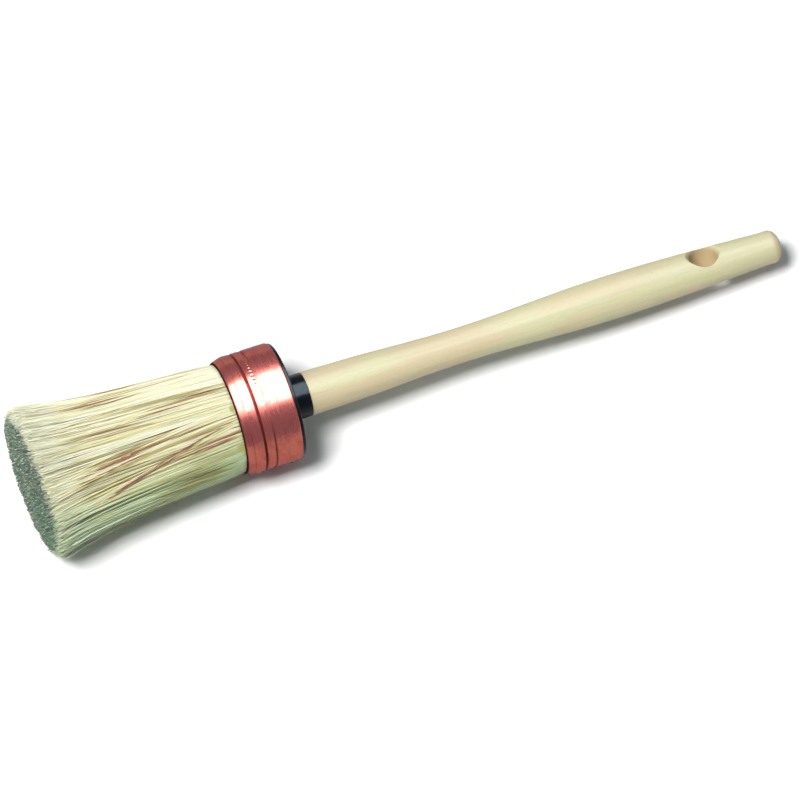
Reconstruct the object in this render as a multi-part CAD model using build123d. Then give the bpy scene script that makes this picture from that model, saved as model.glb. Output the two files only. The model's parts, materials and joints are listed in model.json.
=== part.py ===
from build123d import *
from math import atan, cos, degrees, radians, sin
import os

# Round stencil brush, lying on a flat surface.
#
# Every piece is drawn in the brush's own frame. X is the brush's axis, from the cut bristle tips at x = 0
# to the end of the handle, and nearly every piece is turned about it. The finished pieces are then laid on
# the plane z = 0: the brush rests on the edge of its bristle tips and on the rear rim of its ferrule.

# Driving dimensions, in millimetres.
brush_length = 297.0
bristle_length = 78.7
ferrule_length = 21.7
ferrule_radius = 22.6
ferrule_wall = 0.5

tip_radius = 27.9
tip_rounding = 3.0
mouth_gap = 0.45
bundle_hollow = 0.75
root_depth = 10.8

lip_drop = 1.45
front_bead_width = 6.7
front_bead_end_drop = 0.15
deep_groove_width = 1.5
deep_groove_drop = 0.8
rear_bead_width = 2.6
rear_bead_end_drop = 0.4
shallow_groove_width = 1.6
shallow_groove_drop = 0.35
rim_rounding = 0.4

cap_flange_thickness = 3.6
cap_flange_proud = 1.2
cap_edge_rounding = 0.6
collar_radius = 8.35
collar_length = 7.8
collar_root_rounding = 1.2
spigot_radius = 8.0
spigot_length = 12.0
sliding_gap = 0.05

core_plug_length = 6.5
tenon_radius = 6.0
tenon_end_gap = 0.5
tenon_chamfer = 0.8

handle_shoulder_radius = 8.0
shoulder_chamfer = 0.25
waist_radius = 6.55
swell_radius = 8.2
handle_end_radius = 6.2
end_rounding_length = 5.2
end_flat_radius = 1.8

hang_hole_radius = 5.25
hang_hole_from_end = 29.8
countersink_start = 5.8
hang_hole_roll = 22.0

resting_flat_depth = 0.65

# Places along the axis.
mouth_x = bristle_length
rim_x = mouth_x + ferrule_length
flange_rear_x = rim_x + cap_flange_proud
flange_front_x = flange_rear_x - cap_flange_thickness
spigot_front_x = flange_front_x - spigot_length
shoulder_x = flange_rear_x + collar_length
root_end_x = mouth_x + root_depth
core_plug_front_x = spigot_front_x - core_plug_length
tenon_front_x = spigot_front_x + tenon_end_gap
hang_hole_x = brush_length - hang_hole_from_end

# Fits between nested pieces.
mouth_radius = ferrule_radius - lip_drop - ferrule_wall
bundle_mouth_radius = mouth_radius - mouth_gap
root_radius = mouth_radius - sliding_gap
resin_radius = ferrule_radius - deep_groove_drop - ferrule_wall - sliding_gap
flange_radius = ferrule_radius - ferrule_wall - sliding_gap
socket_radius = tenon_radius + sliding_gap
core_hole_radius = spigot_radius + sliding_gap

# The resting pose: the axis slopes down towards the handle by this angle.
contact_x = rim_x - rim_rounding
tilt = degrees(atan((tip_radius - resting_flat_depth - ferrule_radius) / contact_x))


def turned(face):
    """Solid made by turning a half section about the brush's axis."""
    return revolve(face, Axis.X)


def ring(x_start, x_end, inner_radius, outer_radius):
    """Plain turned ring between two places on the axis."""
    corners = [
        (x_start, inner_radius),
        (x_end, inner_radius),
        (x_end, outer_radius),
        (x_start, outer_radius),
    ]
    return turned(make_face(Polyline(*corners, close=True)))


def bristle_bundle():
    """Free length of the bristles: a slightly hollow flare, cut square at the tips."""
    edge = (tip_rounding, tip_radius - 0.1)
    edge_middle = (0.35 * tip_rounding, tip_radius - 0.35 * tip_rounding)
    mouth = (mouth_x, bundle_mouth_radius)
    middle = (mouth_x / 2, (tip_radius + bundle_mouth_radius) / 2 - bundle_hollow)
    outline = [
        Line((0, 0), (0, tip_radius - tip_rounding)),
        ThreePointArc((0, tip_radius - tip_rounding), edge_middle, edge),
        ThreePointArc(edge, middle, mouth),
        Line(mouth, (mouth_x, 0)),
        Line((mouth_x, 0), (0, 0)),
    ]
    return turned(make_face(Curve() + outline))


def bristle_roots():
    """Bound length of the bristles inside the ferrule, set in a ring round the core plug."""
    return ring(mouth_x, root_end_x, core_hole_radius, root_radius)


def resin_block():
    """Setting compound that holds the bristle ends, poured against the cap's flange."""
    return ring(root_end_x, flange_front_x, core_hole_radius, resin_radius)


def core_plug():
    """Turned plug in the middle of the bristles, in front of the cap's spigot."""
    plug = ring(core_plug_front_x, spigot_front_x, 0, spigot_radius)
    front_edge = plug.edges().filter_by(GeomType.CIRCLE).sort_by(Axis.X)[0]
    return chamfer(front_edge, tenon_chamfer)


def ferrule_points(depth):
    """Places where the ferrule's bead and groove arcs meet, pushed in from the outside by depth."""
    x_steps = [0, front_bead_width, deep_groove_width, rear_bead_width, shallow_groove_width]
    drops = [lip_drop, front_bead_end_drop, front_bead_end_drop, rear_bead_end_drop, 0]
    points = []
    x = mouth_x
    for x_step, drop in zip(x_steps, drops):
        x += x_step
        points.append((x, ferrule_radius - drop - depth))
    return points


def ferrule_line(depth):
    """Rolled section line from the mouth to the start of the plain band."""
    lip, bead_end, groove_end, rear_bead_end, band_start = ferrule_points(depth)
    surface = ferrule_radius - depth
    bead_middle = (lip[0] + 0.55 * front_bead_width, surface)
    groove_middle = (bead_end[0] + deep_groove_width / 2, surface - deep_groove_drop)
    rear_bead_middle = (groove_end[0] + rear_bead_width / 2, surface - front_bead_end_drop / 2)
    shallow_middle = (rear_bead_end[0] + 0.4 * shallow_groove_width, surface - shallow_groove_drop)
    return [
        ThreePointArc(lip, bead_middle, bead_end),
        ThreePointArc(bead_end, groove_middle, groove_end),
        ThreePointArc(groove_end, rear_bead_middle, rear_bead_end),
        ThreePointArc(rear_bead_end, shallow_middle, band_start),
    ]


def ferrule():
    """Thin copper band with a rolled front bead, two rolled grooves and a rounded rear rim."""
    outer = ferrule_points(0)
    inner = ferrule_points(ferrule_wall)
    rounding_start = (rim_x - rim_rounding, ferrule_radius)
    rounding_end = (rim_x, ferrule_radius - rim_rounding)
    inner_rim = (rim_x, ferrule_radius - ferrule_wall)
    outline = [
        *ferrule_line(0),
        Line(outer[-1], rounding_start),
        RadiusArc(rounding_start, rounding_end, rim_rounding),
        Line(rounding_end, inner_rim),
        Line(inner_rim, inner[-1]),
        *ferrule_line(ferrule_wall),
        Line(inner[0], outer[0]),
    ]
    return turned(make_face(Curve() + outline))


def cap():
    """Moulded cap: a flange that closes the ferrule, a spigot inside it and a collar for the handle."""
    corners = [
        (spigot_front_x, socket_radius),
        (shoulder_x, socket_radius),
        (shoulder_x, collar_radius),
        (flange_rear_x, collar_radius),
        (flange_rear_x, flange_radius),
        (flange_front_x, flange_radius),
        (flange_front_x, spigot_radius),
        (spigot_front_x, spigot_radius),
    ]
    body = turned(make_face(Polyline(*corners, close=True)))
    rear_edges = body.edges().filter_by(GeomType.CIRCLE).filter_by_position(
        Axis.X, flange_rear_x - 0.01, flange_rear_x + 0.01
    )
    inner_corner, outer_edge = rear_edges.sort_by(SortBy.RADIUS)
    body = fillet(outer_edge, cap_edge_rounding)
    inner_corner = body.edges().filter_by(GeomType.CIRCLE).filter_by_position(
        Axis.X, flange_rear_x - 0.01, flange_rear_x + 0.01
    ).sort_by(SortBy.RADIUS)[0]
    return fillet(inner_corner, collar_root_rounding)


def handle_outline():
    """Half section of the handle: tenon, shoulder, slim waist, swell and rounded end."""
    tenon_start = (tenon_front_x, tenon_radius - tenon_chamfer)
    tenon_edge = (tenon_front_x + tenon_chamfer, tenon_radius)
    shoulder_root = (shoulder_x, tenon_radius)
    shoulder_edge = (shoulder_x, handle_shoulder_radius)
    grip_start = (shoulder_x + shoulder_chamfer, handle_shoulder_radius + shoulder_chamfer)
    end_start = (brush_length - end_rounding_length, handle_end_radius)
    end_middle = (brush_length - 1.4, 0.78 * handle_end_radius)
    end_flat = (brush_length, end_flat_radius)
    grip = Spline(
        grip_start,
        (shoulder_x + 22, handle_shoulder_radius - 0.1),
        (shoulder_x + 42, waist_radius + 0.45),
        (shoulder_x + 63, waist_radius),
        (shoulder_x + 84, waist_radius + 0.55),
        (shoulder_x + 103, swell_radius - 0.3),
        (shoulder_x + 119, swell_radius),
        (shoulder_x + 147, swell_radius - 0.5),
        end_start,
    )
    return [
        Line((tenon_front_x, 0), tenon_start),
        Line(tenon_start, tenon_edge),
        Line(tenon_edge, shoulder_root),
        Line(shoulder_root, shoulder_edge),
        Line(shoulder_edge, grip_start),
        grip,
        ThreePointArc(end_start, end_middle, end_flat),
        Line(end_flat, (brush_length, 0)),
        Line((brush_length, 0), (tenon_front_x, 0)),
    ]


def hang_hole():
    """Cutter for the hanging hole, countersunk on both sides of the handle."""
    reach = 2 * swell_radius
    cutter = Cylinder(hang_hole_radius, 2 * reach)
    flare = Cone(hang_hole_radius, hang_hole_radius + reach, reach)
    flare = Pos(0, 0, countersink_start + reach / 2) * flare
    cutter += flare + Rot(180, 0, 0) * flare
    return Pos(hang_hole_x, 0, 0) * Rot(-hang_hole_roll, 0, 0) * cutter


def handle():
    """Turned beech handle with its hanging hole."""
    return turned(make_face(Curve() + handle_outline())) - hang_hole()


def resting_place(pieces):
    """Placement that tips the brush, sets it down on z = 0 and centres its box on the origin."""
    tipped = Rot(0, tilt, 0)
    axis_height = contact_x * sin(radians(tilt)) + ferrule_radius * cos(radians(tilt))
    box = Compound([tipped * piece for piece in pieces]).bounding_box()
    return Pos(-(box.min.X + box.max.X) / 2, 0, axis_height) * tipped


def pressed_flat(bundle):
    """The bundle with its lowest bristles pressed level by the surface it lies on."""
    side = 4 * bristle_length
    return bundle - Pos(0, 0, -side / 2) * Box(2 * side, side, side)


def row_point(place, x):
    """Where a point of the brush's axis comes to lie."""
    point = (place * Pos(x, 0, 0)).position
    return [round(value / 1000, 6) for value in point]


def main():
    pieces = {
        "handle": handle(),
        "cap": cap(),
        "core_plug": core_plug(),
        "ferrule": ferrule(),
        "resin_block": resin_block(),
        "bristle_roots": bristle_roots(),
        "bristle_bundle": bristle_bundle(),
    }
    place = resting_place(pieces.values())
    os.makedirs("parts", exist_ok=True)
    for name, piece in pieces.items():
        piece = place * piece
        if name == "bristle_bundle":
            piece = pressed_flat(piece)
        export_step(piece, f"parts/{name}.step")

    print("tilt", round(tilt, 4))
    print("bristle tips", row_point(place, 0))
    print("ferrule mouth", row_point(place, mouth_x))
    print("hanging hole", row_point(place, hang_hole_x))
    hole_axis = (Rot(0, tilt, 0) * Rot(-hang_hole_roll, 0, 0) * Pos(0, 0, 1)).position
    print("hanging hole axis", [round(value, 6) for value in hole_axis])


main()
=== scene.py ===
import json
import math

import bmesh
import bpy
import numpy as np
from mathutils import Matrix, Vector, kdtree


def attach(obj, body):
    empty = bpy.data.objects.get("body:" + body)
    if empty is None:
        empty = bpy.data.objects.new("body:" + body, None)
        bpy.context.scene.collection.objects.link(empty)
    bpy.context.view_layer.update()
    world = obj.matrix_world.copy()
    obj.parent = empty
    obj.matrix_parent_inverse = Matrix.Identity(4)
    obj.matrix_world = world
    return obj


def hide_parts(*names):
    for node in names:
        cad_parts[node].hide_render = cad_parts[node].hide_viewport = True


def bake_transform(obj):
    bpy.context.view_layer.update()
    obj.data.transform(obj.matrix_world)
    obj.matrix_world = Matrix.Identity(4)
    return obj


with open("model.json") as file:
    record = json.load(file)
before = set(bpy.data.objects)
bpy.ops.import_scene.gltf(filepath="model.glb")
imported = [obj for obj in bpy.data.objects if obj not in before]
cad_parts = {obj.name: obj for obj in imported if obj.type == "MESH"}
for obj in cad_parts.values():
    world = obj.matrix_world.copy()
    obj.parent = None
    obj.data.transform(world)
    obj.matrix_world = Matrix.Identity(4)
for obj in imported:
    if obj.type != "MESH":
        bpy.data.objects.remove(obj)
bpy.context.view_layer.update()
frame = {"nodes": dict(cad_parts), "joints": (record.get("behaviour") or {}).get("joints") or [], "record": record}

# ---------------------------------------------------------------------------------------------------------
# The brush's own frame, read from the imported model. X runs along the brush's axis from the cut bristle tips
# to the handle's end, Y is the row's Y and Z points away from the surface. Lengths in it are millimetres.
# ROLL angles are measured about the axis, from Z towards Y.

MM = 0.001
mounts = {mount["name"]: mount for mount in frame["record"]["mounts"]}
flex = frame["joints"][0]

TIP = Vector(mounts["stencil_face"]["pos_m"])
AXIS = -Vector(mounts["stencil_face"]["axis"]).normalized()
SIDE = Vector((0, 1, 0))
LIFT = AXIS.cross(SIDE)
TO_ROW = Matrix.Translation(TIP) @ Matrix((AXIS, SIDE, LIFT)).transposed().to_4x4() @ Matrix.Scale(MM, 4)
FROM_ROW = TO_ROW.inverted()


def along_axis(point_m):
    """Place on the brush's axis, in mm, of a point given in the row frame."""
    return (Vector(point_m) - TIP).dot(AXIS) / MM


def farthest(node):
    """Place on the axis, in mm, of a CAD node's rear end."""
    return max(along_axis(vertex.co) for vertex in frame["nodes"][node].data.vertices)


def widest(node):
    """Largest distance of a CAD node's surface from the axis, in mm."""
    places = [FROM_ROW @ vertex.co for vertex in frame["nodes"][node].data.vertices]
    return max(math.hypot(place.y, place.z) for place in places)


MOUTH = along_axis(flex["pos_m"])
RIM = farthest("ferrule")
SHOULDER = farthest("cap")
BRUSH_LENGTH = farthest("handle")
ROOT_END = farthest("bristle_roots")
FERRULE_RADIUS = widest("ferrule")
FLANGE_RADIUS = widest("cap")
TIP_RADIUS = widest("bristle_bundle")
ROOT_RADIUS = widest("bristle_roots")
CORE_RADIUS = widest("core_plug")


# ---------------------------------------------------------------------------------------------------------
# Geometry tools


def smooth_line(points, step):
    """Natural cubic curve through points whose first values rise, sampled about every step."""
    x, y = np.array(points, float).T
    gap = np.diff(x)
    count = len(x)
    system = np.eye(count)
    right = np.zeros(count)
    for i in range(1, count - 1):
        system[i, i - 1 : i + 2] = gap[i - 1], 2 * (gap[i - 1] + gap[i]), gap[i]
        right[i] = 6 * ((y[i + 1] - y[i]) / gap[i] - (y[i] - y[i - 1]) / gap[i - 1])
    curvature = np.linalg.solve(system, right)
    places = np.linspace(x[0], x[-1], max(2, round((x[-1] - x[0]) / step) + 1))
    i = np.clip(np.searchsorted(x, places) - 1, 0, count - 2)
    left, after = places - x[i], x[i + 1] - places
    bend = curvature[i] * after**3 + curvature[i + 1] * left**3
    chord_left = (y[i] / gap[i] - curvature[i] * gap[i] / 6) * after
    chord_right = (y[i + 1] / gap[i] - curvature[i + 1] * gap[i] / 6) * left
    return list(zip(places, bend / (6 * gap[i]) + chord_left + chord_right))


def arc(centre, radius, start_degrees, end_degrees, steps):
    """Points of an arc in the section plane; 0 degrees points along the axis and 90 away from it."""
    angles = np.radians(np.linspace(start_degrees, end_degrees, steps + 1))
    return [(centre[0] + radius * math.cos(a), centre[1] + radius * math.sin(a)) for a in angles]


def straight(start, end, steps):
    """Points along a straight stretch of an outline, without its last one."""
    shares = np.arange(steps) / steps
    return [(start[0] + (end[0] - start[0]) * s, start[1] + (end[1] - start[1]) * s) for s in shares]


def turned(name, outline, segments, ring=False):
    """Mesh turned about X from an outline of (x, radius) in mm. A ring's outline is a closed loop, and any
    other outline starts and ends on the axis."""
    mesh = bpy.data.meshes.new(name)
    grid = bmesh.new()
    angles = [2 * math.pi * i / segments for i in range(segments)]
    loops = []
    for x, radius in outline:
        if radius < 1e-6:
            loops.append([grid.verts.new((x, 0, 0))])
        else:
            loops.append([grid.verts.new((x, radius * math.sin(a), radius * math.cos(a))) for a in angles])
    pairs = list(zip(loops, loops[1:]))
    if ring:
        pairs.append((loops[-1], loops[0]))
    for first, second in pairs:
        for i in range(segments):
            j = (i + 1) % segments
            corners = [first[i % len(first)], first[j % len(first)]]
            corners += [second[j % len(second)], second[i % len(second)]]
            grid.faces.new(dict.fromkeys(corners))
    bmesh.ops.recalc_face_normals(grid, faces=grid.faces)
    grid.to_mesh(mesh)
    grid.free()
    return mesh


def vertex_places(mesh):
    """Places of a mesh's vertices, as rows of x, y and z."""
    places = np.empty(len(mesh.vertices) * 3)
    mesh.vertices.foreach_get("co", places)
    return places.reshape(-1, 3)


def add_piece(mesh, material, replaced_nodes, sharp_degrees=40):
    """Finishes a mesh drawn in the brush's frame: keeps its rest places for the materials, puts it in the
    row frame and hides the CAD nodes that it replaces."""
    rest = mesh.attributes.new("brush_place", "FLOAT_VECTOR", "POINT")
    places = np.empty(len(mesh.vertices) * 3, np.float32)
    mesh.vertices.foreach_get("co", places)
    rest.data.foreach_set("vector", places)
    mesh.transform(TO_ROW)
    mesh.shade_smooth()
    if sharp_degrees:
        mesh.set_sharp_from_angle(angle=math.radians(sharp_degrees))
    mesh.materials.clear()
    mesh.materials.append(material)
    piece = bpy.data.objects.new(mesh.name, mesh)
    bpy.context.scene.collection.objects.link(piece)
    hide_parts(*replaced_nodes)
    return piece


# ---------------------------------------------------------------------------------------------------------
# Material tools


def new_material(name):
    """A node material; gives the material, its node tree and its surface node."""
    material = bpy.data.materials.new(name)
    material.use_nodes = True
    return material, material.node_tree, material.node_tree.nodes["Principled BSDF"]


def node(tree, kind, inputs=None, **settings):
    """Adds a shader node; an input takes a value, or a socket to link from."""
    made = tree.nodes.new("ShaderNode" + kind)
    for key, value in settings.items():
        setattr(made, key, value)
    for key, value in (inputs or {}).items():
        if isinstance(value, bpy.types.NodeSocket):
            tree.links.new(value, made.inputs[key])
        else:
            made.inputs[key].default_value = value
    return made


def rest_place(tree, scale):
    """Rest place in the brush's frame, in mm, times a scale along each axis."""
    place = node(tree, "Attribute", attribute_name="brush_place")
    inputs = {0: place.outputs["Vector"], 1: scale}
    return node(tree, "VectorMath", inputs, operation="MULTIPLY").outputs[0]


def noise(tree, vector, scale=1.0, detail=3.0, roughness=0.5, distortion=0.0):
    """Value of a noise texture."""
    inputs = {
        "Vector": vector,
        "Scale": scale,
        "Detail": detail,
        "Roughness": roughness,
        "Distortion": distortion,
    }
    return node(tree, "TexNoise", inputs).outputs[0]


def between(tree, value, low, high, low_out=0.0, high_out=1.0, smooth=True):
    """Value moved from the range low to high onto another range, and held inside it."""
    kind = "SMOOTHSTEP" if smooth else "LINEAR"
    inputs = {"Value": value, "From Min": low, "From Max": high, "To Min": low_out, "To Max": high_out}
    return node(tree, "MapRange", inputs, interpolation_type=kind).outputs[0]


def mix(tree, share, first, second, blend="MIX"):
    """Two colours mixed by a share."""
    inputs = {0: share, 6: first, 7: second}
    return node(tree, "Mix", inputs, data_type="RGBA", blend_type=blend).outputs[2]


def math_node(tree, operation, first, second=0.0):
    """Result of a math node."""
    return node(tree, "Math", {0: first, 1: second}, operation=operation).outputs[0]


def ramp(tree, value, stops):
    """Colour of a ramp with stops of (place, (r, g, b))."""
    made = node(tree, "ValToRGB", {0: value})
    elements = made.color_ramp.elements
    while len(elements) < len(stops):
        elements.new(1.0)
    for element, (place, colour) in zip(elements, stops):
        element.position = place
        element.color = (*colour, 1.0)
    return made.outputs[0]


def shaded(tree, colour, shade):
    """A colour multiplied by a grey value."""
    grey = node(tree, "CombineColor", {0: shade, 1: shade, 2: shade}).outputs[0]
    return mix(tree, 1.0, colour, grey, "MULTIPLY")


def attribute(tree, name):
    """Number that a mesh keeps under a name."""
    return node(tree, "Attribute", attribute_name=name).outputs["Fac"]


def bump(tree, surface, height, strength, distance):
    """Joins a height to the surface's normal."""
    inputs = {"Height": height, "Strength": strength, "Distance": distance}
    made = node(tree, "Bump", inputs)
    tree.links.new(made.outputs[0], surface.inputs["Normal"])


# ---------------------------------------------------------------------------------------------------------
# Materials


def beech(name, pale, warm, fleck, fleck_share=0.3):
    """Raw beech, with everything along the axis: soft growth bands, fine long fibres and short ray flecks.
    Gives the material, and its tree, surface node and colour for what a piece adds."""
    material, tree, surface = new_material(name)
    patches = noise(tree, rest_place(tree, (0.02, 0.1, 0.1)), 1.0, 2.0, 0.5, 0.5)
    bands = noise(tree, rest_place(tree, (0.007, 0.5, 0.2)), 1.0, 3.0, 0.55, 0.7)
    fibres = noise(tree, rest_place(tree, (0.1, 5.0, 5.0)), 1.0, 3.0, 0.6)
    flecks = noise(tree, rest_place(tree, (0.6, 3.6, 3.6)), 1.0, 1.0, 0.5)
    colour = mix(tree, between(tree, patches, 0.4, 0.62), (*pale, 1), (*warm, 1))
    colour = shaded(tree, colour, between(tree, bands, 0.42, 0.62, 1.0, 0.93))
    colour = shaded(tree, colour, between(tree, fibres, 0.3, 0.7, 0.94, 1.04, smooth=False))
    colour = mix(tree, between(tree, flecks, 0.62, 0.72, 0.0, fleck_share), colour, (*fleck, 1))
    tree.links.new(colour, surface.inputs["Base Color"])
    tree.links.new(between(tree, fibres, 0.3, 0.7, 0.5, 0.62), surface.inputs["Roughness"])
    surface.inputs["Specular IOR Level"].default_value = 0.3
    bump(tree, surface, fibres, 0.2, 0.0001)
    return material, tree, surface, colour


def handle_beech():
    """Beech of the handle, warmer on the end grain of its rounded end and browner inside its hole."""
    material, tree, surface, colour = beech(
        "raw_beech", (0.5, 0.48, 0.285), (0.515, 0.435, 0.27), (0.37, 0.27, 0.145)
    )
    place = node(tree, "Attribute", attribute_name="brush_place").outputs["Vector"]
    along = node(tree, "SeparateXYZ", {0: place}).outputs[0]
    end_grain = between(tree, along, BRUSH_LENGTH - 5, BRUSH_LENGTH - 0.5, 0.0, 0.7)
    colour = mix(tree, end_grain, colour, (0.52, 0.42, 0.265, 1))
    hole = mounts["hang_hole"]
    centre = FROM_ROW @ Vector(hole["pos_m"])
    direction = (FROM_ROW.to_3x3() @ Vector(hole["axis"])).normalized()
    from_centre = node(tree, "VectorMath", {0: place, 1: centre}, operation="SUBTRACT").outputs[0]
    across = node(tree, "VectorMath", {0: from_centre, 1: direction}, operation="CROSS_PRODUCT").outputs[0]
    away = node(tree, "VectorMath", {0: across}, operation="LENGTH").outputs["Value"]
    bore = hole["dims"]["r_mm"]
    colour = mix(tree, between(tree, away, bore, bore + 0.7, 0.75, 0.0), colour, (0.5, 0.37, 0.2, 1))
    tree.links.new(colour, surface.inputs["Base Color"])
    return material


def copper():
    """Rolled and lacquered copper: faint hoop-wise rubbing marks, cloudy tarnish, painted shade that darkens
    the grooves, the lip and the inside, and a few scuffs."""
    material, tree, surface = new_material("rolled_copper")
    hoops = noise(tree, rest_place(tree, (6.0, 0.06, 0.06)), 1.0, 3.0, 0.6)
    clouds = noise(tree, rest_place(tree, (0.2, 0.13, 0.13)), 1.0, 4.0, 0.6, 0.7)
    scuffs = noise(tree, rest_place(tree, (0.45, 1.0, 1.0)), 1.0, 5.0, 0.7, 1.5)
    tarnish = between(tree, clouds, 0.4, 0.66)
    colour = mix(tree, tarnish, (0.58, 0.158, 0.11, 1), (0.47, 0.113, 0.09, 1))
    colour = mix(tree, between(tree, scuffs, 0.6, 0.72, 0.0, 0.35), colour, (0.64, 0.27, 0.19, 1))
    # Painted shade: the grooves, the lip and the inside are painted near black, rougher and without coat, to stand
    # for the shade that falls in them.
    painted_shade = attribute(tree, "painted_shade")
    colour = mix(tree, painted_shade, colour, (0.008, 0.0015, 0.0025, 1))
    tree.links.new(colour, surface.inputs["Base Color"])
    surface.inputs["Metallic"].default_value = 1.0
    dullness = between(tree, clouds, 0.35, 0.7, 0.22, 0.31)
    rubbing = between(tree, hoops, 0.3, 0.7, -0.03, 0.04)
    gloss = math_node(tree, "ADD", dullness, rubbing)
    gloss = math_node(tree, "ADD", gloss, math_node(tree, "MULTIPLY", painted_shade, 0.3))
    tree.links.new(gloss, surface.inputs["Roughness"])
    surface.inputs["Specular Tint"].default_value = (0.55, 0.46, 0.5, 1)
    coat = between(tree, painted_shade, 0.0, 0.6, 0.12, 0.0)
    tree.links.new(coat, surface.inputs["Coat Weight"])
    surface.inputs["Coat Roughness"].default_value = 0.12
    bump(tree, surface, hoops, 0.06, 0.00005)
    return material


def black_plastic():
    """Moulded black plastic: glossy, with faint flow marks and a little dust."""
    material, tree, surface = new_material("moulded_black_plastic")
    flow = noise(tree, rest_place(tree, (0.3, 0.3, 0.3)), 1.0, 3.0, 0.5, 1.0)
    dust = noise(tree, rest_place(tree, (3.0, 3.0, 3.0)), 1.0, 2.0, 0.6)
    dusty = between(tree, dust, 0.62, 0.76, 0.0, 0.15)
    colour = mix(tree, dusty, (0.0018, 0.0022, 0.0032, 1), (0.02, 0.022, 0.025, 1))
    tree.links.new(colour, surface.inputs["Base Color"])
    tree.links.new(between(tree, flow, 0.3, 0.7, 0.16, 0.26), surface.inputs["Roughness"])
    surface.inputs["Specular IOR Level"].default_value = 0.2
    surface.inputs["Specular Tint"].default_value = (0.8, 0.97, 1.0, 1)
    bump(tree, surface, flow, 0.05, 0.0003)
    return material


def resin():
    """Amber setting compound with small bubbles."""
    material, tree, surface = new_material("setting_resin")
    clouds = noise(tree, rest_place(tree, (0.2, 0.2, 0.2)), 1.0, 4.0, 0.6)
    colour = ramp(tree, clouds, [(0.3, (0.3, 0.16, 0.05)), (0.7, (0.5, 0.32, 0.12))])
    tree.links.new(colour, surface.inputs["Base Color"])
    surface.inputs["Roughness"].default_value = 0.3
    bubbles = noise(tree, rest_place(tree, (1.5, 1.5, 1.5)), 1.0, 1.0, 0.5)
    bump(tree, surface, between(tree, bubbles, 0.62, 0.7), 0.4, 0.0002)
    return material


# Spots of lime-green compound that has crept onto the bristles at the mouth: roll, distance of the middle
# before the mouth, and radius.
LIME_SPOTS = [(-16, 0.9, 1.6), (-58, 1.2, 2.3)]

# Share of the light that a bristle lets through.
LET_THROUGH = 0.42


def bristle():
    """Natural bristle, which lets some light through. The attribute tone picks the colour along a strand.
    Two more give painted shade: how far the low side turns dull and greenish, and how much of the cut face's
    dark grey-green a point has. The strands are darker olive in a ragged band at the mouth, and the spots
    of compound are on them."""
    material, tree, surface = new_material("natural_bristle")
    palette = [
        (0.0, (0.93, 0.94, 0.81)),
        (0.08, (0.91, 0.9, 0.72)),
        (0.3, (0.88, 0.855, 0.56)),
        (0.5, (0.78, 0.71, 0.34)),
        (0.65, (0.49, 0.43, 0.16)),
        (0.78, (0.52, 0.36, 0.09)),
        (0.9, (0.4, 0.18, 0.045)),
        (1.0, (0.29, 0.08, 0.025)),
    ]
    colour = ramp(tree, attribute(tree, "tone"), palette)
    mottling = noise(tree, rest_place(tree, (0.14, 2.4, 2.4)), 1.0, 3.0, 0.6)
    colour = shaded(tree, colour, between(tree, mottling, 0.3, 0.7, 0.92, 1.03, smooth=False))
    # Painted shade: the low side, mostly near the mouth, is multiplied towards a dull green, where less light
    # falls.
    low_shade_colour = mix(tree, 1.0, colour, (0.66, 0.82, 0.69, 1), "MULTIPLY")
    colour = mix(tree, attribute(tree, "low_side_shade"), colour, low_shade_colour)
    # Painted shade: the cut face, turned away from the light, is painted dark grey-green.
    colour = mix(tree, attribute(tree, "painted_cut_shade"), colour, (0.1, 0.195, 0.145, 1))
    place = node(tree, "Attribute", attribute_name="brush_place").outputs["Vector"]
    ragged = math_node(tree, "MULTIPLY", noise(tree, rest_place(tree, (0.0, 1.2, 1.2)), 1.0, 2.0), 3.5)
    at_mouth = math_node(tree, "ADD", node(tree, "SeparateXYZ", {0: place}).outputs[0], ragged)
    # A ragged band of darker olive at the mouth.
    mouth_band = between(tree, at_mouth, MOUTH, MOUTH + 2.4, 0.0, 0.6)
    colour = mix(tree, mouth_band, colour, (0.42, 0.37, 0.11, 1))
    for roll_degrees, before_mouth, radius in LIME_SPOTS:
        roll = math.radians(roll_degrees)
        centre = (MOUTH - before_mouth, ROOT_RADIUS * math.sin(roll), ROOT_RADIUS * math.cos(roll))
        from_spot = node(tree, "VectorMath", {0: place, 1: centre}, operation="SUBTRACT").outputs[0]
        away = node(tree, "VectorMath", {0: from_spot}, operation="LENGTH").outputs["Value"]
        spot = between(tree, away, 0.35 * radius, 1.05 * radius, 0.9, 0.0)
        colour = mix(tree, spot, colour, (0.43, 0.47, 0.07, 1))
    tree.links.new(colour, surface.inputs["Base Color"])
    surface.inputs["Roughness"].default_value = 0.45
    surface.inputs["Specular IOR Level"].default_value = 0.4
    through = node(tree, "BsdfTranslucent", {"Color": colour})
    shader = node(tree, "MixShader", {0: LET_THROUGH, 1: surface.outputs[0], 2: through.outputs[0]})
    tree.links.new(shader.outputs[0], tree.nodes["Material Output"].inputs["Surface"])
    return material


# ---------------------------------------------------------------------------------------------------------
# Handle

SHOULDER_RADIUS = 8.0
SHOULDER_CHAMFER = 0.25
WAIST_RADIUS = 6.55
SWELL_RADIUS = 8.2
END_RADIUS = 6.2
END_ROUNDING = 5.2
TENON_RADIUS = 6.0
TENON_LENGTH = 22.5
HANDLE_SEGMENTS = 144
GRIP_STEP = 0.4
DOME_RADIUS = 4.3

# The hole's flare starts this far inside the bore's end and widens by FLARE times the distance squared. The
# cutter reaches out to CUTTER_REACH from the axis.
FLARE_LEAD = 1.6
FLARE = 0.153
FLARE_POINTS = 28
CUTTER_REACH = 12.0

# Rounding of the hole's edge: what counts as its edge, how far it reaches and how often it is repeated.
EDGE_DEGREES = 22
EDGE_LENGTH = 9.0
SOFT_REACH = 0.6
SOFT_PASSES = 3


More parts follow.
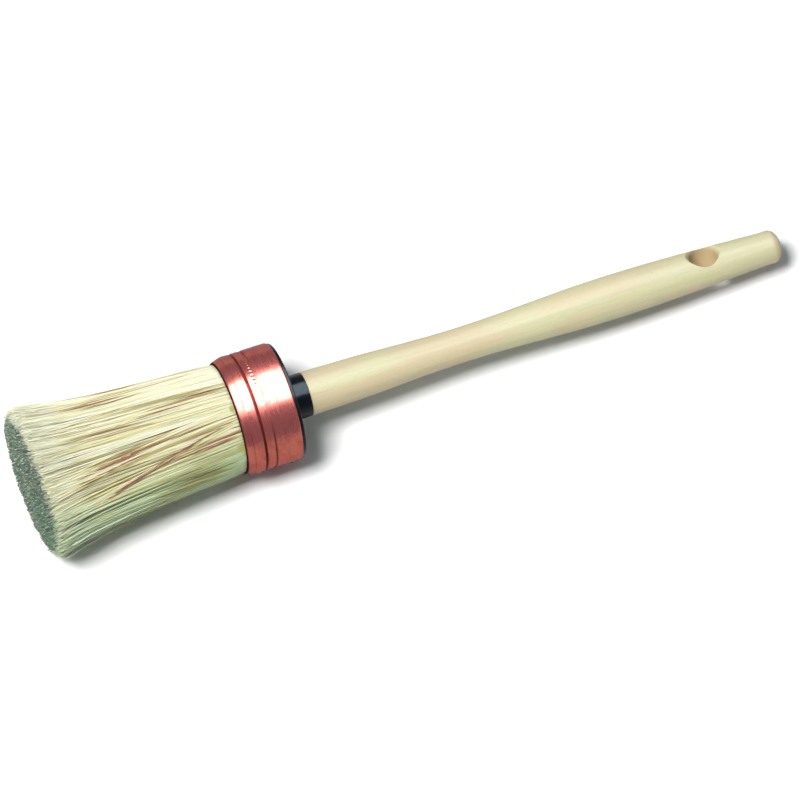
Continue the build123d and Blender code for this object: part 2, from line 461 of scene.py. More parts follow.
def handle_outline():
    """Half section of the handle, from the tenon's front to the rounded end."""
    tenon_front = SHOULDER - TENON_LENGTH
    end = BRUSH_LENGTH
    grip = smooth_line(
        [
            (SHOULDER + SHOULDER_CHAMFER, SHOULDER_RADIUS + SHOULDER_CHAMFER),
            (SHOULDER + 22, SHOULDER_RADIUS - 0.1),
            (SHOULDER + 42, WAIST_RADIUS + 0.45),
            (SHOULDER + 63, WAIST_RADIUS),
            (SHOULDER + 84, WAIST_RADIUS + 0.55),
            (SHOULDER + 103, SWELL_RADIUS - 0.3),
            (SHOULDER + 119, SWELL_RADIUS),
            (SHOULDER + 147, SWELL_RADIUS - 0.5),
            (end - END_ROUNDING, END_RADIUS),
        ],
        GRIP_STEP,
    )
    dome = arc((end - DOME_RADIUS, END_RADIUS - DOME_RADIUS + 0.25), DOME_RADIUS, 78, 8, 9)
    outline = [(tenon_front, 0), (tenon_front, TENON_RADIUS - 0.8), (tenon_front + 0.8, TENON_RADIUS)]
    outline += [(SHOULDER - 1, TENON_RADIUS), (SHOULDER, TENON_RADIUS), (SHOULDER, SHOULDER_RADIUS)]
    outline += [*grip, *dome]
    outline += [(end - 0.02, 1.2), (end, 0)]
    return outline


def hole_cutter():
    """Body of the hanging hole: a bore that flares smoothly at each side, turned about its own axis."""
    hole = mounts["hang_hole"]
    radius = hole["dims"]["r_mm"]
    start = hole["dims"]["length_mm"] / 2 - FLARE_LEAD
    places = np.linspace(start, CUTTER_REACH, FLARE_POINTS)
    half = [(x, radius + FLARE * (x - start) ** 2) for x in places]
    outline = [(-CUTTER_REACH, 0), *[(-x, r) for x, r in reversed(half)], *half, (CUTTER_REACH, 0)]
    mesh = turned("hole_cutter", outline, HANDLE_SEGMENTS)
    to_hole = Vector((1, 0, 0)).rotation_difference(Vector(hole["axis"])).to_matrix().to_4x4()
    mesh.transform(FROM_ROW @ Matrix.Translation(hole["pos_m"]) @ to_hole @ Matrix.Scale(MM, 4))
    return bpy.data.objects.new("hole_cutter", mesh)


def soften_hole_edge(mesh):
    """Rounds the crisp edge that the hole's cut leaves, as sanding does."""
    grid = bmesh.new()
    grid.from_mesh(mesh)
    bmesh.ops.remove_doubles(grid, verts=grid.verts, dist=0.02)
    inner_edges = [e for e in grid.edges if len(e.link_faces) == 2]
    sharp = [e for e in inner_edges if e.calc_face_angle() > math.radians(EDGE_DEGREES)]
    hole_x = along_axis(mounts["hang_hole"]["pos_m"])
    rim = [v for e in sharp for v in e.verts if abs(v.co.x - hole_x) < EDGE_LENGTH]
    tree = kdtree.KDTree(len(rim))
    for i, vertex in enumerate(rim):
        tree.insert(vertex.co, i)
    tree.balance()
    around = [v for v in grid.verts if abs(v.co.x - hole_x) < EDGE_LENGTH + 1]
    near = [v for v in around if tree.find(v.co)[2] < SOFT_REACH]
    axes = {"use_axis_x": True, "use_axis_y": True, "use_axis_z": True}
    for _ in range(SOFT_PASSES):
        bmesh.ops.smooth_vert(grid, verts=near, factor=0.5, **axes)
    grid.to_mesh(mesh)
    grid.free()


def make_handle():
    body = bpy.data.objects.new("handle_blank", turned("handle_blank", handle_outline(), HANDLE_SEGMENTS))
    cutter = hole_cutter()
    for part in (body, cutter):
        bpy.context.scene.collection.objects.link(part)
    cut = body.modifiers.new("hole", "BOOLEAN")
    cut.object = cutter
    cut.solver = "EXACT"
    bpy.context.view_layer.update()
    mesh = bpy.data.meshes.new_from_object(body.evaluated_get(bpy.context.evaluated_depsgraph_get()))
    mesh.name = "turned_handle"
    soften_hole_edge(mesh)
    for part in (body, cutter):
        bpy.data.objects.remove(part)
    piece = add_piece(mesh, handle_beech(), ["handle"], 30)
    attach(piece, "brush_body")


# ---------------------------------------------------------------------------------------------------------
# Cap

COLLAR_RADIUS = 8.35
FLANGE_PROUD = 1.2
FLANGE_THICKNESS = 3.6
SPIGOT_LENGTH = 12.0
SOCKET_RADIUS = 6.05
CAP_SEGMENTS = 160
FLANGE_ROUNDING = 0.6
COLLAR_FILLET = 1.2
COLLAR_LIP = 0.35


def make_cap():
    """Flange, collar and inner spigot, with softly moulded edges."""
    rear = RIM + FLANGE_PROUD
    front = rear - FLANGE_THICKNESS
    spigot_front = front - SPIGOT_LENGTH
    edge, root, lip = FLANGE_ROUNDING, COLLAR_FILLET, COLLAR_LIP
    outline = [(spigot_front, CORE_RADIUS - 0.3), (spigot_front + 0.3, CORE_RADIUS)]
    outline += straight((spigot_front + 1, CORE_RADIUS), (front, CORE_RADIUS), 6)
    outline += straight((front, CORE_RADIUS), (front, FLANGE_RADIUS), 8)
    outline += [(front, FLANGE_RADIUS - 0.2), (front + 0.2, FLANGE_RADIUS)]
    outline += arc((rear - edge, FLANGE_RADIUS - edge), edge, 90, 0, 6)
    outline += straight((rear, FLANGE_RADIUS - edge - 0.6), (rear, COLLAR_RADIUS + root + 0.5), 10)
    outline += arc((rear + root, COLLAR_RADIUS + root), root, 180, 270, 7)
    outline += straight((rear + root + 0.4, COLLAR_RADIUS), (SHOULDER - lip - 0.4, COLLAR_RADIUS), 5)
    outline += arc((SHOULDER - lip, COLLAR_RADIUS - lip), lip, 90, 0, 5)
    outline += [(SHOULDER, SOCKET_RADIUS + 0.3), (SHOULDER - 0.3, SOCKET_RADIUS)]
    outline += straight((SHOULDER - 1, SOCKET_RADIUS), (spigot_front, SOCKET_RADIUS), 12)
    outline += [(spigot_front, SOCKET_RADIUS)]
    mesh = turned("moulded_cap", outline, CAP_SEGMENTS, ring=True)
    piece = add_piece(mesh, black_plastic(), ["cap"], 35)
    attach(piece, "brush_body")


# ---------------------------------------------------------------------------------------------------------
# Ferrule

FERRULE_WALL = 0.5
FERRULE_SEGMENTS = 600
OUTLINE_STEP = 0.15
DEEP_GROOVE = 7.4
SHALLOW_GROOVE = 11.3
LIP_DROP = 1.42
DOT_COUNT = 12
DOT_ROLL = 20.0
DOT_SPACING = 1.65
DOT_PLACE = 10.2
DOT_RADIUS = 0.52
DOT_DEPTH = 0.14
DENT_ROLL = -97.0
DENT_PLACE = 13.3
DENT_RADIUS = 1.3
DENT_DEPTH = 0.3


def ferrule_outline():
    """Closed section of the rolled band: lip, front bead, deep groove, rear bead, shallow groove, band."""
    band = FERRULE_RADIUS - 0.07
    rolled = smooth_line(
        [
            (0.15, band - LIP_DROP),
            (0.5, band - 1.14),
            (1.1, band - 0.9),
            (2.0, band - 0.62),
            (3.0, band - 0.33),
            (4.0, band - 0.1),
            (5.2, band + 0.03),
            (6.4, band - 0.06),
            (6.95, band - 0.22),
            (DEEP_GROOVE, band - 0.8),
            (7.85, band - 0.24),
            (8.4, band - 0.08),
            (9.4, band - 0.04),
            (10.5, band - 0.1),
            (SHALLOW_GROOVE, band - 0.28),
            (12.1, band - 0.08),
            (12.9, band),
        ],
        OUTLINE_STEP,
    )
    outer = [(MOUTH + x, radius) for x, radius in rolled]
    outer += straight((MOUTH + 13.6, band), (RIM - 1.2, band), 9)
    outer += arc((RIM - 0.75, band - 0.75), 0.75, 90, 25, 6)
    inner = [(RIM - 0.05, band - FERRULE_WALL + 0.02)]
    inner += straight((RIM - 0.4, band - FERRULE_WALL), (MOUTH + 13.4, band - FERRULE_WALL), 6)
    inner += [(MOUTH + x, radius - FERRULE_WALL) for x, radius in rolled[::-4]]
    lip = arc((MOUTH + 0.15, band - LIP_DROP - FERRULE_WALL / 2), FERRULE_WALL / 2, 250, 110, 5)
    return outer + inner + lip


def press_dots(mesh):
    """Presses a plain row of round dots into the rear bead, and gives the band a dent and a worn form."""
    places = vertex_places(mesh)
    radius = np.hypot(places[:, 1], places[:, 2])
    roll = np.arctan2(places[:, 1], places[:, 2])
    depth = np.zeros(len(places))
    for i in range(DOT_COUNT):
        dot_roll = math.radians(DOT_ROLL) + (i - (DOT_COUNT - 1) / 2) * DOT_SPACING / FERRULE_RADIUS
        across = (roll - dot_roll) * FERRULE_RADIUS
        away = np.hypot(across, places[:, 0] - MOUTH - DOT_PLACE)
        depth += DOT_DEPTH * np.exp(-((away / DOT_RADIUS) ** 4))
    across = (roll - math.radians(DENT_ROLL)) * FERRULE_RADIUS
    away = np.hypot(across, places[:, 0] - MOUTH - DENT_PLACE)
    depth += DENT_DEPTH * np.exp(-((away / DENT_RADIUS) ** 2))
    wear = 0.014 * np.sin(3 * roll + 0.4) + 0.007 * np.sin(7 * roll + places[:, 0] * 0.3)
    scale = (radius - depth + wear - 0.02) / radius
    places[:, 1] *= scale
    places[:, 2] *= scale
    mesh.vertices.foreach_set("co", places.ravel())


def add_painted_shade(mesh):
    """Keeps the painted shade at each place of the ferrule: its grooves, its lip and its inside."""
    places = vertex_places(mesh)
    x = places[:, 0] - MOUTH
    roll = np.degrees(np.arctan2(places[:, 1], places[:, 2]))
    # The shallow groove's painted shade is weaker within 25 degrees of roll of the top, and stronger beyond 55.
    shallow_groove_shade = 0.3 + 0.5 * np.clip((np.abs(roll) - 25) / 30, 0, 1)
    painted_shade = np.exp(-(((x - DEEP_GROOVE) / 0.38) ** 4))
    painted_shade = painted_shade + shallow_groove_shade * np.exp(-(((x - SHALLOW_GROOVE) / 0.35) ** 2))
    painted_shade += np.exp(-((x / 0.5) ** 4))
    inside = np.hypot(places[:, 1], places[:, 2]) < FERRULE_RADIUS - 0.4 - 1.45 * np.clip(1 - x / 3, 0, 1)
    painted_shade[inside & (x > 1)] = 0.6
    kept = mesh.attributes.new("painted_shade", "FLOAT", "POINT")
    kept.data.foreach_set("value", np.clip(painted_shade, 0, 1).astype(np.float32))


def make_ferrule():
    mesh = turned("rolled_ferrule", ferrule_outline(), FERRULE_SEGMENTS, ring=True)
    press_dots(mesh)
    add_painted_shade(mesh)
    piece = add_piece(mesh, copper(), ["ferrule"], 50)
    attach(piece, "brush_body")


# ---------------------------------------------------------------------------------------------------------
# Bristles

STRANDS = 10400
GOLDEN_ANGLE = math.pi * (3 - math.sqrt(5))
STRAND_RADIUS = 0.185
MOUTH_GAP = 0.1

# The strands are drawn as this many pieces: the outer share of them finely, and the rest coarsely.
OUTER_SHARE = 0.33
OUTER_PIECES = 3
INNER_PIECES = 2

# Points along a strand and sides around it, by the kind of piece.
OUTER_POINTS, OUTER_SIDES = 12, 5
INNER_POINTS, INNER_SIDES = 6, 4
SPLIT_SIDES = 3
ROOT_SIDES = 5

# Above 1, strands crowd towards the surface.
SURFACE_CROWDING = 1.35

# Greatest depth of the hollow in the tuft's flaring outline, and the factor that makes
# along**2 * (1 - along) reach 1.
BUNDLE_HOLLOW = 1.45
HOLLOW_SHAPE = 6.75

# Middle and half width, in degrees of roll, of the side with warmer and more often dark bristles.
WARM_ROLL = -38.0
WARM_WIDTH = 29.0

# How far the tips lean in Y and Z, the slant of the cut, and how near the surface strands are pressed flat.
TIP_LEAN = (-1.15, -0.35)
CUT_TILT = (-0.033, -0.0175)
PRESSED_BELOW = 1.6

# Fine branches of each outer strand's tip.
SPLIT_COUNT = 3
SPLIT_REACH = 0.38
SPLIT_RADIUS = 0.09

# Bound bristles: one is drawn for every few strands, and is that much thicker.
ROOT_EVERY = 3
ROOT_SWELL = 1.45

# Tones of the bristles: pale up to STRAW, then straw, olive, ochre, and brown to dark red at 1.
STRAW, OLIVE, OCHRE, BROWN, RED = 0.45, 0.64, 0.78, 0.88, 1.0

# Groups of dark strands on the tuft's surface: roll at the mouth and at the tips, half width of the group,
# number of strands, tone, and the stretch that is dark, from 0 at the mouth to 1 at the tips.
STREAKS = [
    (-24, -30, 5.5, 5, RED, 0.0, 0.3),
    (-21, -36, 5.0, 9, RED, 0.32, 0.93),
    (-20, -34, 3.5, 5, BROWN, 0.2, 0.52),
    (-21, -36, 6.5, 11, OCHRE, 0.15, 0.9),
    (-29, -72, 1.2, 3, RED, 0.15, 0.82),
    (-33, -66, 1.5, 2, BROWN, 0.3, 0.75),
    (-43, -56, 4.5, 6, RED, -0.1, 0.27),
    (-56, -60, 4.0, 9, OLIVE, -0.1, 0.3),
    (39, 34, 4.5, 5, RED, 0.5, 0.9),
    (42, 38, 5.5, 5, BROWN, 0.5, 0.85),
    (19, 16, 4.5, 4, BROWN, 0.5, 0.88),
    (-2, 3, 6.0, 9, OCHRE, 0.4, 0.88),
    (1, 3, 2.0, 3, RED, 0.2, 0.48),
    (6, 9, 5.0, 4, BROWN, 0.05, 0.45),
    (14, 18, 3.0, 5, OLIVE, 0.0, 0.6),
    (-66, -72, 7.0, 9, OLIVE, 0.1, 0.75),
    (-76, -82, 6.0, 5, BROWN, 0.1, 0.6),
    (-91, -94, 6.0, 7, BROWN, 0.1, 0.75),
    (-100, -102, 7.0, 11, OLIVE, 0.0, 0.9),
    (48, 46, 7.0, 3, OCHRE, 0.1, 0.8),
    (-14, -16, 2.5, 7, OLIVE, -0.1, 0.09),
    (-60, -62, 4.0, 10, OLIVE, -0.1, 0.1),
]

# Streaks on the sides that the photo doesn't show, placed by chance.
FAR_STREAKS = 16


class Strands:
    """Every bristle's path and colours. Arrays hold one row for each strand."""

    def __init__(self, seed):
        rng = np.random.default_rng(seed)
        index = np.arange(STRANDS)
        self.area = 1 - (1 - (index + 0.5) / STRANDS) ** SURFACE_CROWDING
        self.roll = (index * GOLDEN_ANGLE + rng.normal(0, 0.006, STRANDS)) % (2 * math.pi)
        self.turn = np.radians(rng.normal(0, 1.6, STRANDS))
        self.size = STRAND_RADIUS * rng.uniform(0.75, 1.25, STRANDS)
        away = (self.roll - math.radians(WARM_ROLL) + math.pi) % (2 * math.pi) - math.pi
        self.warm = np.exp(-((away / math.radians(WARM_WIDTH)) ** 2))
        # Strands under the surface, seen only in the gaps, get a more golden and darker tone: painted warm shade
        # in the gaps. The warm side's share is the bristles' own tone.
        gap_shade = np.clip((0.988 - self.area) / 0.02, 0, 1)
        golden = 0.1 * self.warm + (0.14 + 0.1 * self.warm) * gap_shade
        self.tone = np.clip(rng.normal(0.14, 0.12, STRANDS) + golden, 0, 0.6)
        self.lift = np.zeros(STRANDS)
        self.set_dark_stretches(rng)
        loose = np.where(self.in_streak, 0.35, 1.0)[:, None]
        self.bunch = self.clump(rng, 1500, 0.46, 0.08, 0.1) * loose
        self.lean = self.clump(rng, 300, 0.24, 0.5, 0.05) + rng.normal(0, 0.25, (STRANDS, 2))
        stray = rng.random(STRANDS) < 0.03
        self.lean[stray] += rng.normal(0, 1.4, (stray.sum(), 2))
        self.lean = self.lean * loose + TIP_LEAN
        self.wave = rng.normal(0, 0.12, (STRANDS, 2)) * loose
        self.wave_count = rng.uniform(0.8, 2.4, STRANDS)
        self.wave_phase = rng.uniform(0, 2 * math.pi, STRANDS)
        self.trim = self.cut_lengths(rng)
        # Strength of the cut face's painted shade for each strand; a few strands get little of it.
        self.cut_shade_strength = np.where(rng.random(STRANDS) < 0.13, 0.25, rng.uniform(0.65, 1.0, STRANDS))

    def set_dark_stretches(self, rng):
        """Gives some strands a darker stretch: single ones, mostly on the warm side, and groups where the
        streaks are. A group that crosses the other strands lies higher on them."""
        self.dark = np.zeros(STRANDS)
        self.in_streak = np.zeros(STRANDS, bool)
        self.dark_from = rng.uniform(-0.3, 0.75, STRANDS)
        self.dark_to = self.dark_from + rng.uniform(0.15, 0.7, STRANDS)
        kinds = rng.random(STRANDS) ** (1 - 0.62 * self.warm)
        for tone, least in ((STRAW, 0.76), (OLIVE, 0.89), (OCHRE, 0.94), (BROWN, 0.968), (RED, 0.99)):
            self.dark[kinds > least] = tone
        streaks = list(STREAKS)
        for _ in range(FAR_STREAKS):
            mouth_roll = rng.uniform(60, 280)
            tip_roll = mouth_roll + rng.normal(0, 8)
            start = rng.uniform(0, 0.5)
            tone = rng.choice([OCHRE, BROWN, RED])
            streaks.append((mouth_roll, tip_roll, 5.0, 7, tone, start, start + rng.uniform(0.2, 0.5)))
        for mouth_roll, tip_roll, half_width, count, tone, start, end in streaks:
            away = np.abs((self.roll - math.radians(mouth_roll) + math.pi) % (2 * math.pi) - math.pi)
            free = (self.area > 0.95) & ~self.in_streak
            inside = np.flatnonzero((away < math.radians(half_width)) & free)
            chosen = rng.choice(inside, min(count, len(inside)), replace=False)
            self.area[chosen] = rng.uniform(0.985, 1.0, len(chosen))
            self.in_streak[chosen] = True
            self.size[chosen] *= 1.1
            self.lift[chosen] = 0.22 + 0.008 * abs(tip_roll - mouth_roll)
            self.dark[chosen] = np.clip(rng.normal(tone - 0.05, 0.07, len(chosen)), 0.55, 1.0)
            self.dark_from[chosen] = start + rng.normal(0, 0.1, len(chosen))
            self.dark_to[chosen] = end + rng.normal(0, 0.12, len(chosen))
            self.turn[chosen] = np.radians(tip_roll - mouth_roll + rng.normal(0, 1.0, len(chosen)))

    def clump(self, rng, count, pull, lean, tone_spread):
        """How far each strand leans at its tip by being drawn to its clump's middle and leaning with it, in
        mm. Strands of a clump also share a little of their tone."""
        clump_area = (np.arange(count) + 0.5) / count
        clump_roll = np.arange(count) * GOLDEN_ANGLE + rng.normal(0, 0.04, count)
        centres = self.spread(clump_area, clump_roll)
        tree = kdtree.KDTree(count)
        for i, centre in enumerate(centres):
            tree.insert((*centre, 0), i)
        tree.balance()
        tips = self.spread(self.area, self.roll)
        nearest = np.array([tree.find((*tip, 0))[1] for tip in tips])
        self.tone = np.clip(self.tone + rng.normal(0, tone_spread, count)[nearest], 0, 0.6)
        return pull * (centres[nearest] - tips) + rng.normal(0, lean, (count, 2))[nearest]

    def cut_lengths(self, rng):
        """How far short of the tip plane each strand ends: a ragged and slightly slanted cut with a rounded
        edge."""
        trim = 0.2 + np.abs(rng.normal(0, 0.8, STRANDS) * (1 + 0.9 * self.area**8))
        short = rng.random(STRANDS) < 0.12
        trim[short] += rng.uniform(0.3, 2.4, short.sum())
        rim = np.clip((self.area - 0.72) / 0.28, 0, 1)
        slant = self.spread(self.area, self.roll) @ np.array(CUT_TILT)
        return np.maximum(trim + 2.6 * rim**2 + slant, -0.2)

    @staticmethod
    def spread(area, roll):
        """Place across the section at the tips."""
        return TIP_RADIUS * np.sqrt(area)[:, None] * np.stack([np.sin(roll), np.cos(roll)], 1)

    def paths(self, chosen, points):
        """Rest paths of the chosen strands from the mouth to the tips, as strands x points x 3, and how far
        along each point is, from 0 to 1."""
        along = np.linspace(0, 1, points)[None, :]
        area = self.area[chosen, None]
        bundle = (ROOT_RADIUS - MOUTH_GAP) * (1 - along) + (TIP_RADIUS - 0.1) * along
        bundle = bundle - HOLLOW_SHAPE * BUNDLE_HOLLOW * along**2 * (1 - along)
        hollow = (CORE_RADIUS + 0.3) / ROOT_RADIUS * (1 - along) ** 1.3
        radius = bundle * np.sqrt(hollow**2 + (1 - hollow**2) * area)
        raised = np.clip(along / 0.1, 0, 1) * np.clip((1 - along) / 0.4, 0, 1)
        radius = radius + self.lift[chosen, None] * raised
        roll = self.roll[chosen, None] + self.turn[chosen, None] * along**1.2
        swing = np.sin(2 * math.pi * self.wave_count[chosen, None] * along + self.wave_phase[chosen, None])
        swing = (swing - np.sin(self.wave_phase[chosen, None])) * along**0.5
        offset = self.lean[chosen, None, :] * (along**1.3)[..., None]
        offset = offset + self.bunch[chosen, None, :] * (0.4 + 0.6 * along)[..., None]
        offset = offset + self.wave[chosen, None, :] * swing[..., None]
        y = radius * np.sin(roll) + offset[..., 0]
        z = radius * np.cos(roll) + offset[..., 1]
        x = MOUTH * (1 - along) + 0.3 * (1 - along) + self.trim[chosen, None] * along
        return np.stack([x, y, z], 2), np.broadcast_to(along, x.shape)

    def tones(self, chosen, along):
        """Tone at each point of the chosen strands, which turn paler at their tips."""
        start, end = self.dark_from[chosen, None], self.dark_to[chosen, None]
        share = np.clip((along - start) / 0.12, 0, 1) * np.clip((end - along) / 0.12, 0, 1)
        pale = self.tone[chosen, None] * (1 - 0.9 * np.clip((along - 0.82) / 0.14, 0, 1))
        dark = self.dark[chosen, None]
        return pale + np.maximum(dark - pale, 0) * share * (dark > 0)

    def low_side_shades(self, chosen, along):
        """How much painted shade, dull and greenish, each point gets: the low side does, and more near the mouth.
        """
        low = np.degrees((self.roll[chosen, None] + math.pi) % (2 * math.pi) - math.pi)
        low = np.clip((-42 - low) / 26, 0, 1) * np.clip((low + 150) / 30, 0, 1)
        return low * np.clip(1.3 - 0.75 * along, 0, 1)

    def painted_cut_shades(self, chosen, along):
        """How much of the cut face's painted shade, a dark grey-green, each point has: none on the outermost
        strands.
        """
        inside = np.clip((0.93 - self.area[chosen, None]) / 0.12, 0, 1)
        return self.cut_shade_strength[chosen, None] * inside * np.clip((along - 0.955) / 0.04, 0, 1)


def tube_mesh(name, paths, sizes, sides):
    """One mesh of many closed tubes with the given paths and one radius for each path point."""
    strands, points = paths.shape[:2]
    angles = 2 * math.pi * np.arange(sides) / sides
    across = np.stack([np.zeros(sides), np.cos(angles), np.sin(angles)], 1)
    vertices = paths[:, :, None, :] + sizes[:, :, None, None] * across[None, None]
    base = np.arange(strands * points * sides).reshape(strands, points, sides)
    after = np.roll(base, -1, axis=2)
    quads = np.stack([base[:, :-1], base[:, 1:], after[:, 1:], after[:, :-1]], 3).reshape(-1, 4)
    caps = np.concatenate([base[:, 0], base[:, -1, ::-1]])
    corners = np.concatenate([quads.ravel(), caps.ravel()])
    starts = np.concatenate([np.arange(len(quads)) * 4, len(quads) * 4 + np.arange(len(caps)) * sides])
    mesh = bpy.data.meshes.new(name)
    mesh.vertices.add(vertices.size // 3)
    mesh.vertices.foreach_set("co", vertices.astype(np.float32).ravel())
    mesh.loops.add(len(corners))
    mesh.loops.foreach_set("vertex_index", corners.astype(np.int32))
    mesh.polygons.add(len(starts))
    mesh.polygons.foreach_set("loop_start", starts.astype(np.int32))
    mesh.update(calc_edges=True)
    return mesh


def set_values(mesh, name, values, sides):
    """Keeps one number for each path point's ring of vertices, for the materials."""
    kept = mesh.attributes.new(name, "FLOAT", "POINT")
    kept.data.foreach_set("value", np.repeat(values.ravel(), sides).astype(np.float32))


def press_on_surface(mesh):
    """Lowest strands give way to the surface under the brush, smoothly and without meeting it."""
    places = vertex_places(mesh)
    limit = PRESSED_BELOW * MM
    low = places[:, 2] < limit
    places[low, 2] = limit * np.exp((places[low, 2] - limit) / limit)
    mesh.vertices.foreach_set("co", places.ravel())


def finish_free_bristles(mesh, material):
    """Makes a piece of free strands, from the mouth to the stiff tips."""
    piece = add_piece(mesh, material, ["bristle_bundle"], 60)
    press_on_surface(mesh)
    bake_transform(piece)


def make_bristles(strands, material, name, chosen, points, sides):
    """A share of the bristles over their free length."""
    paths, along = strands.paths(chosen, points)
    sizes = strands.size[chosen, None] * (1 - 0.1 * along)
    mesh = tube_mesh(name, paths, sizes, sides)
    set_values(mesh, "tone", strands.tones(chosen, along), sides)
    set_values(mesh, "low_side_shade", strands.low_side_shades(chosen, along), sides)
    set_values(mesh, "painted_cut_shade", strands.painted_cut_shades(chosen, along), sides)
    finish_free_bristles(mesh, material)


def make_split_tips(strands, material):
    """Natural bristle splits at its tips: fine pale branches off the ends of the outer strands."""
    rng = np.random.default_rng(5)
    chosen = np.repeat(np.flatnonzero(strands.area > 0.9), SPLIT_COUNT)
    paths, along = strands.paths(chosen, OUTER_POINTS)
    paths, along = paths[:, -3:], along[:, -3:]
    apart = rng.normal(0, SPLIT_REACH, (len(chosen), 1, 2))
    paths[..., 1:] += apart * np.array([0, 0.45, 1])[None, :, None]
    paths[:, -1, 0] = np.maximum(paths[:, -1, 0] + rng.normal(0.1, 0.45, len(chosen)), -0.25)
    sizes = np.broadcast_to(SPLIT_RADIUS * np.array([1.0, 1.0, 0.7]), along.shape)
    mesh = tube_mesh("split_tips", paths, sizes, SPLIT_SIDES)
    set_values(mesh, "tone", 0.3 * np.broadcast_to(strands.tone[chosen, None], along.shape), SPLIT_SIDES)
    set_values(mesh, "low_side_shade", strands.low_side_shades(chosen, along), SPLIT_SIDES)
    set_values(mesh, "painted_cut_shade", 0.6 * strands.painted_cut_shades(chosen, along), SPLIT_SIDES)
    finish_free_bristles(mesh, material)


def make_roots(strands, material):
    """Bound length of the same bristles, from the mouth back into the setting resin: fewer and thicker, as
    they are hidden."""
    chosen = np.arange(0, STRANDS, ROOT_EVERY)
    mouth = strands.paths(chosen, 2)[0][:, :1]
    paths = np.repeat(mouth, 2, axis=1)
    paths[:, 0, 0] = ROOT_END
    paths[:, 1, 0] = MOUTH + 0.02
    sizes = np.repeat(ROOT_SWELL * strands.size[chosen, None], 2, axis=1)
    mesh = tube_mesh("bound_bristle_roots", paths, sizes, ROOT_SIDES)
    set_values(mesh, "tone", np.repeat(strands.tone[chosen], 2), ROOT_SIDES)
    set_values(mesh, "painted_cut_shade", np.zeros(2 * len(chosen)), ROOT_SIDES)
    piece = add_piece(mesh, material, ["bristle_roots"], 60)
    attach(piece, "brush_body")


def make_all_bristles():
    strands = Strands(seed=12)
    material = bristle()
    first_outer = round(STRANDS * (1 - OUTER_SHARE))
    for i, chosen in enumerate(np.array_split(np.arange(first_outer, STRANDS), OUTER_PIECES)):
        make_bristles(strands, material, f"outer_bristles_{i + 1}", chosen, OUTER_POINTS, OUTER_SIDES)
    for i, chosen in enumerate(np.array_split(np.arange(first_outer), INNER_PIECES)):
        make_bristles(strands, material, f"inner_bristles_{i + 1}", chosen, INNER_POINTS, INNER_SIDES)
    make_split_tips(strands, material)
    make_roots(strands, material)


# ---------------------------------------------------------------------------------------------------------
# CAD pieces that keep their shape, inside the ferrule


def finish_inner_pieces():
    plug_wood = beech("plug_wood", (0.66, 0.5, 0.32), (0.6, 0.43, 0.27), (0.4, 0.25, 0.14))[0]
    for name, material in (("resin_block", resin()), ("core_plug", plug_wood)):
        mesh = frame["nodes"][name].data
        rest = mesh.attributes.new("brush_place", "FLOAT_VECTOR", "POINT")
        rest.data.foreach_set("vector", [value for v in mesh.vertices for value in FROM_ROW @ v.co])
        mesh.materials.clear()
        mesh.materials.append(material)


# ---------------------------------------------------------------------------------------------------------
# Camera, floor and light

CAMERA_AZIMUTH = -20.5
CAMERA_ELEVATION = 65.0
CAMERA_DISTANCE = 3.28
CAMERA_LENS = 400.0

# Where the camera aims, in mm from the middle of the brush's axis in its own picture.
AIM_RIGHT = -2.0
AIM_UP = -13.9

FLOOR_RADIUS = 1.2
KEY_WATTS = 240.0
GLOSS_WATTS = 400.0

# The studio around the brush, as matt surfaces and as glossy ones meet it.
FILL = (0.176, 0.2, 0.2, 1)
GLOSS_FILL = (0.375, 0.38, 0.52, 1)


def make_camera():
    """Long lens looking down on the brush from the bristle side."""
    azimuth, elevation = math.radians(CAMERA_AZIMUTH), math.radians(CAMERA_ELEVATION)
    right = Vector((math.cos(azimuth), math.sin(azimuth), 0))
    level = Vector((math.sin(azimuth), -math.cos(azimuth), 0))
    back = level * math.cos(elevation) + Vector((0, 0, math.sin(elevation)))
    up = back.cross(right)
    aim = TO_ROW @ Vector((BRUSH_LENGTH / 2, 0, 0)) + (right * AIM_RIGHT + up * AIM_UP) * MM
    data = bpy.data.cameras.new("camera")
    data.lens = CAMERA_LENS
    data.clip_end = 50
    camera = bpy.data.objects.new("camera", data)
    camera.location = aim + back * CAMERA_DISTANCE
    camera.rotation_euler = (-back).to_track_quat("-Z", "Y").to_euler()
    bpy.context.scene.collection.objects.link(camera)
    bpy.context.scene.camera = camera


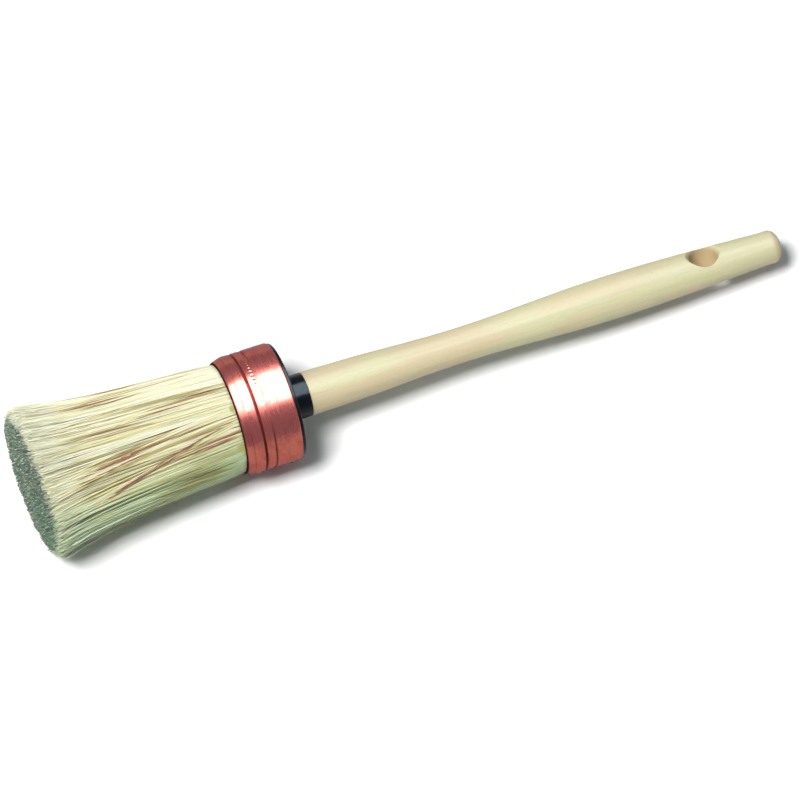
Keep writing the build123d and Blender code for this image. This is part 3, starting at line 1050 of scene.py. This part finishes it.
def make_floor():
    """Round plain pale floor, very slightly mottled, and paler where the light falls off."""
    mesh = bpy.data.meshes.new("floor")
    grid = bmesh.new()
    bmesh.ops.create_circle(grid, cap_ends=True, segments=96, radius=FLOOR_RADIUS)
    grid.to_mesh(mesh)
    grid.free()
    material, tree, surface = new_material("pale_floor")
    coordinates = node(tree, "TexCoord").outputs["Object"]
    patches = noise(tree, coordinates, 3.0, 2.0)
    colour = ramp(tree, patches, [(0.3, (0.79, 0.79, 0.81)), (0.7, (0.81, 0.81, 0.83))])
    away = node(tree, "VectorMath", {0: coordinates}, operation="LENGTH").outputs["Value"]
    colour = mix(tree, between(tree, away, 0.3, FLOOR_RADIUS), colour, (0.94, 0.94, 0.96, 1))
    mirrored = node(tree, "LightPath").outputs["Is Glossy Ray"]
    colour = mix(tree, mirrored, colour, (0.48, 0.48, 0.48, 1))
    tree.links.new(colour, surface.inputs["Base Color"])
    surface.inputs["Roughness"].default_value = 0.8
    surface.inputs["Specular IOR Level"].default_value = 0.1
    mesh.materials.append(material)
    floor = bpy.data.objects.new("floor", mesh)
    floor.location.z = -0.0001
    bpy.context.scene.collection.objects.link(floor)


def soft_panel(name, direction, distance, size, watts, colour):
    """Rectangular studio light that faces the brush, with its first side along the row's X. The camera
    doesn't see it."""
    panel = bpy.data.lights.new(name, "AREA")
    panel.shape = "RECTANGLE"
    panel.size, panel.size_y = size
    panel.energy = watts
    panel.color = colour
    light = bpy.data.objects.new(name, panel)
    back = Vector(direction).normalized()
    across = Vector((0, 1, 0)).cross(back).normalized()
    turn = Matrix((across, back.cross(across), back)).transposed()
    light.matrix_world = Matrix.Translation(back * distance) @ turn.to_4x4()
    light.visible_camera = False
    bpy.context.scene.collection.objects.link(light)
    return light


def make_light():
    """A key high above the bristles' side, a long panel that only shines in glossy surfaces, and a cool
    weak fill."""
    key = soft_panel("key", (-0.38, -0.085, 1), 4.0, (1.3, 1.3), KEY_WATTS, (1.0, 0.99, 0.975))
    key.visible_glossy = False
    gloss = soft_panel("gloss_panel", (0.1, 0.15, 0.95), 2.4, (5.0, 2.9), GLOSS_WATTS, (0.96, 1.03, 1.14))
    gloss.visible_diffuse = False
    world = bpy.data.worlds.new("studio")
    world.use_nodes = True
    tree = world.node_tree
    rays = node(tree, "LightPath")
    fill = tree.nodes["Background"]
    mirrored = rays.outputs["Is Glossy Ray"]
    tree.links.new(mix(tree, mirrored, FILL, GLOSS_FILL), fill.inputs["Color"])
    backdrop = node(tree, "Background", {"Color": (1, 1, 1, 1), "Strength": 1.0})
    inputs = {0: rays.outputs["Is Camera Ray"], 1: fill.outputs[0], 2: backdrop.outputs[0]}
    seen = node(tree, "MixShader", inputs)
    tree.links.new(seen.outputs[0], tree.nodes["World Output"].inputs["Surface"])
    bpy.context.scene.world = world
    bpy.context.scene.view_settings.view_transform = "Standard"


make_camera()
make_floor()
make_light()
make_handle()
make_cap()
make_ferrule()
make_all_bristles()
finish_inner_pieces()
